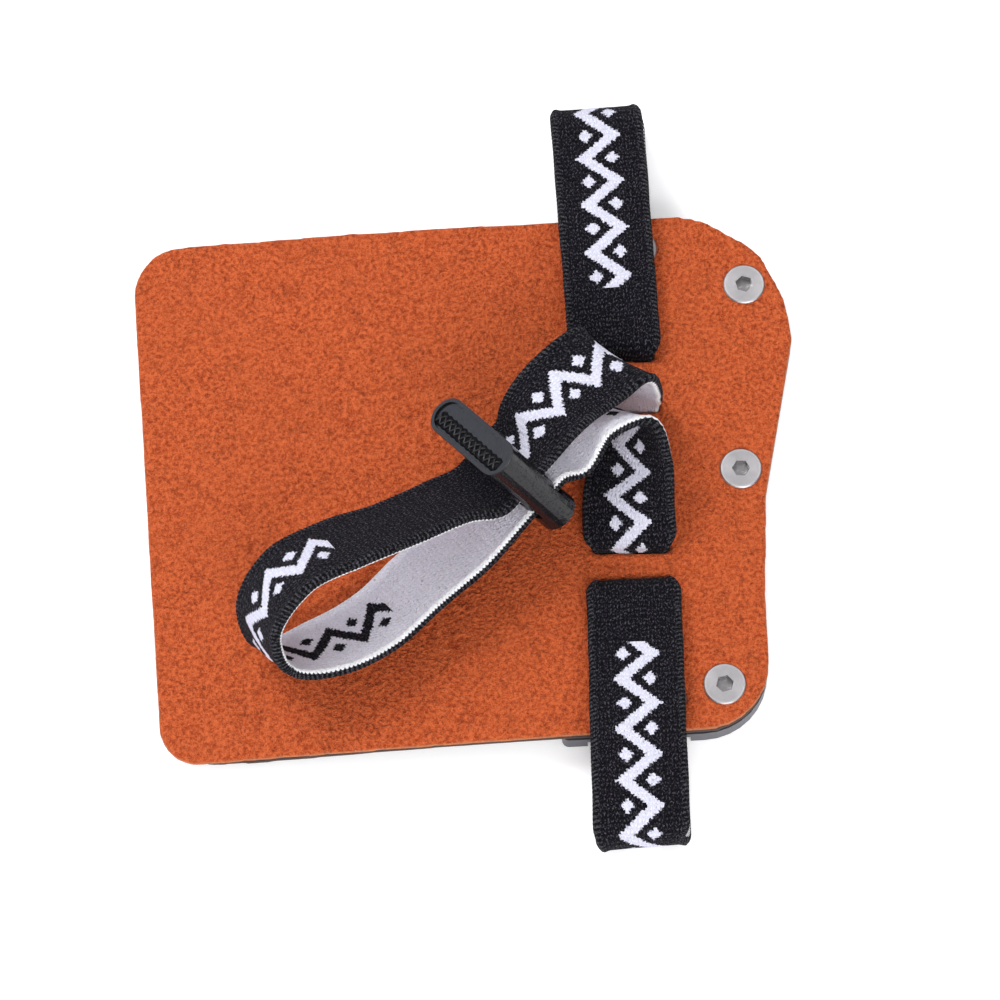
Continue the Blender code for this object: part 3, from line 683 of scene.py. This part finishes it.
def steel_material(name, x, y):
    net = Net("steel_" + name, rough=0.34, metal=1.0)
    where = net.coords()
    flat = net.add("ShaderNodeVectorMath", {"operation": "SUBTRACT"})
    net.feed(flat.inputs[0], where)
    net.feed(flat.inputs[1], (x * MM, y * MM, 0.0))
    parts = net.add("ShaderNodeSeparateXYZ", Vector=flat.outputs[0])
    radius = net.math("DIVIDE", net.math("SQRT", net.math("ADD", net.math("POWER", parts.outputs["X"], 2.0),
                                                          net.math("POWER", parts.outputs["Y"], 2.0))), MM)
    rings = net.math("MULTIPLY_ADD", net.math("SINE", net.math("MULTIPLY", radius, 2 * math.pi / 0.16)), 0.5, 0.5)
    grain = net.noise(where, 0.25, 3.0, 0.6)
    stain = net.noise(where, 1.6, 3.0, 0.6)
    tone = net.mix(stain, (0.33, 0.315, 0.325, 1), (0.52, 0.500, 0.512, 1))
    tone = net.mix(net.math("MULTIPLY", rings, 0.30), tone, (0.17, 0.165, 0.17, 1))
    # painted highlight: a brighter ring just inside the edge of the head
    rim_highlight = net.math("MULTIPLY", net.step(radius, 2.28, 2.40), net.math("SUBTRACT", 1.0, net.step(radius, 2.52, 2.60)))
    tone = net.mix(net.math("MULTIPLY", rim_highlight, 0.25), tone, (0.62, 0.60, 0.61, 1))
    # painted shade: the hex socket is darkened toward its floor, as shade in the recess; it is also made less rough
    # there
    socket_shade = net.step(parts.outputs["Z"], 5.35 * MM, 4.4 * MM)
    tone = net.mix(net.math("MULTIPLY", socket_shade, 0.55), tone, (0.24, 0.23, 0.23, 1))
    shiny = net.math("SUBTRACT", 0.30, net.math("MULTIPLY", socket_shade, 0.18))
    net.set(Base_Color=tone, Roughness=net.math("MULTIPLY_ADD", grain, 0.20, shiny),
            Normal=net.bump(net.math("ADD", rings, grain), 0.012, 0.5))
    return net.mat


def gloss_material(name="gloss_black_moulding", shade=1.0):
    net = Net(name, rough=0.14, spec=0.33)
    where = net.coords()
    smear = net.noise(where, 3.5, 4.0, 0.6, 0.5)
    peel = net.noise(where, 0.50, 2.0, 0.5)
    pits = net.step(net.noise(where, 0.34, 2.0, 0.6), 0.60, 0.68)
    dust = net.noise(where, 0.22, 3.0, 0.7)
    net.set(Base_Color=net.mix(net.step(dust, 0.60, 0.82), (0.0075 * shade, 0.0075 * shade, 0.0090 * shade, 1),
                               (0.034 * shade, 0.034 * shade, 0.039 * shade, 1)),
            Roughness=net.math("MULTIPLY_ADD", smear, 0.16, 0.04))
    height = net.math("MULTIPLY_ADD", smear, 0.8, net.math("MULTIPLY", dust, 0.20))
    height = net.math("ADD", height, net.math("MULTIPLY", peel, 0.55))
    height = net.math("SUBTRACT", height, net.math("MULTIPLY", pits, 0.60))
    net.set(Normal=net.bump(height, 0.08, 0.55))
    return net.mat


def dress(node, material):
    mesh = nodes[node].data
    mesh.materials.clear()
    mesh.materials.append(material)


dress("plate", plate_material())
for name, (x, y) in SCREWS.items():
    dress(name, steel_material(name, x, y))
gloss = gloss_material()
dress("slider", gloss)


# painted shade: the strip under the ribs is made near black and matte, darker than the rest of the moulding, so the
# gaps between the ribs read as shadow
def grip_gap_shade_material():
    net = Net("grip_gap_shade", rough=0.6, spec=0.12)
    where = net.coords()
    net.set(Base_Color=net.mix(net.noise(where, 0.3, 2.0), (0.0015, 0.0015, 0.002, 1), (0.006, 0.006, 0.008, 1)),
            Normal=net.bump(net.noise(where, 0.4, 2.0), 0.05, 0.6))
    return net.mat


def grip():
    """Crossed ribs on a strip along one half of the slider's sunk top face, for a thumb to hold; the strip is painted
    near black as shade between the ribs.
    """
    bm = bmesh.new()
    edge = []
    for k in range(49):                                     # the strip's outline, scalloped between the ribs
        edge.append((-6.9 + 13.8 * k / 48, GRIP_SIDE * 0.78 + 1.02 - 0.10 * math.cos(2 * math.pi * k / 4)))
    for k in range(48, -1, -1):
        edge.append((-6.9 + 13.8 * k / 48, GRIP_SIDE * 0.78 - 0.92 + 0.06 * math.cos(2 * math.pi * k / 4)))
    for h in (SLIDER_TOP - 0.34, SLIDER_TOP - 0.27):
        for a, b in edge:
            bm.verts.new(Vector((a, b, h)) * MM)
    bm.verts.ensure_lookup_table()
    count = len(edge)
    for k in range(count):
        bm.faces.new([bm.verts[q] for q in (k, (k + 1) % count, (k + 1) % count + count, k + count)])
    bm.faces.new([bm.verts[q] for q in range(count - 1, -1, -1)])
    bm.faces.new([bm.verts[q] for q in range(count, 2 * count)])
    bmesh.ops.recalc_face_normals(bm, faces=bm.faces)
    # the strip's faces get the second finish, the painted shade
    for face in bm.faces:
        face.material_index = 1
    top = SLIDER_TOP - 0.3
    rng = np.random.default_rng(4)
    for lean in (52, -52):
        c, s_ = math.cos(math.radians(lean)), math.sin(math.radians(lean))
        u = -6.4
        while u <= 6.4:
            length = rng.uniform(1.9, 2.4)
            made = bmesh.ops.create_cube(bm, size=1.0)["verts"]
            for vert in made:
                a, b, h = vert.co.x * length, vert.co.y * 0.34, (vert.co.z + 0.5)
                taper = 1.0 - 0.45 * h
                a, b = a * taper, b * taper
                vert.co = Vector((u + a * c - b * s_, GRIP_SIDE * 0.78 + a * s_ + b * c, top - 0.05 + 0.33 * h)) * MM
            u += rng.uniform(1.00, 1.24)
    ribs = [e for e in bm.edges if all(f.material_index == 0 for f in e.link_faces)]
    bmesh.ops.bevel(bm, geom=ribs, offset=0.05 * MM, segments=1, affect="EDGES")
    mesh = bpy.data.meshes.new("slider_grip")
    bm.to_mesh(mesh)
    bm.free()
    mesh.shade_smooth()
    obj = bpy.data.objects.new("slider_grip", mesh)
    scene.collection.objects.link(obj)
    obj.data.transform(slider_place)
    obj.data.materials.append(gloss)
    obj.data.materials.append(grip_gap_shade_material())
    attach(obj, "root")
    return obj


grip()

# ================================================================ floor and light
mesh = bpy.data.meshes.new("floor")
mesh.from_pydata([(-3, -3, 0), (3, -3, 0), (3, 3, 0), (-3, 3, 0)], [], [(0, 1, 2, 3)])
floor = bpy.data.objects.new("floor", mesh)
floor.location.z = -0.0002
scene.collection.objects.link(floor)
paper = Net("paper", rough=1.0, spec=0.0)
paper.set(Base_Color=grey(0.93))
paper.bsdf.inputs["Emission Color"].default_value = (1, 1, 1, 1)
paper.bsdf.inputs["Emission Strength"].default_value = 0.25
mesh.materials.append(paper.mat)

world = bpy.data.worlds.new("studio")
world.use_nodes = True
sky = world.node_tree
ramp = sky.nodes.new("ShaderNodeValToRGB")
ramp.color_ramp.elements[0].position, ramp.color_ramp.elements[0].color = 0.05, (0.07, 0.07, 0.085, 1)
ramp.color_ramp.elements[1].position, ramp.color_ramp.elements[1].color = 0.55, (0.97, 0.98, 1.0, 1)
ramp.color_ramp.elements.new(0.24).color = (0.22, 0.22, 0.28, 1)
split = sky.nodes.new("ShaderNodeSeparateXYZ")
sky.links.new(sky.nodes.new("ShaderNodeTexCoord").outputs["Generated"], split.inputs[0])
sky.links.new(split.outputs["Z"], ramp.inputs[0])
sky.links.new(ramp.outputs[0], sky.nodes["Background"].inputs["Color"])
sky.nodes["Background"].inputs["Strength"].default_value = 0.78
scene.world = world


def lamp(name, place, aim, size, watts, colour=(1, 1, 1)):
    data = bpy.data.lights.new(name, "AREA")
    data.shape = "RECTANGLE"
    data.size, data.size_y = size
    data.energy = watts
    data.color = colour
    obj = bpy.data.objects.new(name, data)
    obj.location = place
    obj.rotation_euler = (Vector(aim) - Vector(place)).to_track_quat("-Z", "Y").to_euler()
    scene.collection.objects.link(obj)


lamp("key", (-0.38, 0.42, 0.75), (0, 0, 0), (0.40, 0.40), 5.2)
lamp("left_soft", (-0.97, 0.12, 0.28), (0, 0, 0.01), (0.5, 0.30), 1.1, (0.88, 0.93, 1.0))
lamp("left_sheen", (-0.80, 0.55, 0.24), (0, 0, 0.01), (0.5, 0.30), 0.8, (0.80, 0.86, 1.0))
lamp("front_fill", (0.15, -0.70, 0.60), (0, 0, 0), (0.6, 0.5), 5.9)
lamp("back_strip", (0.10, 1.50, 0.14), (0, 0, 0.01), (2.4, 0.12), 1.5)
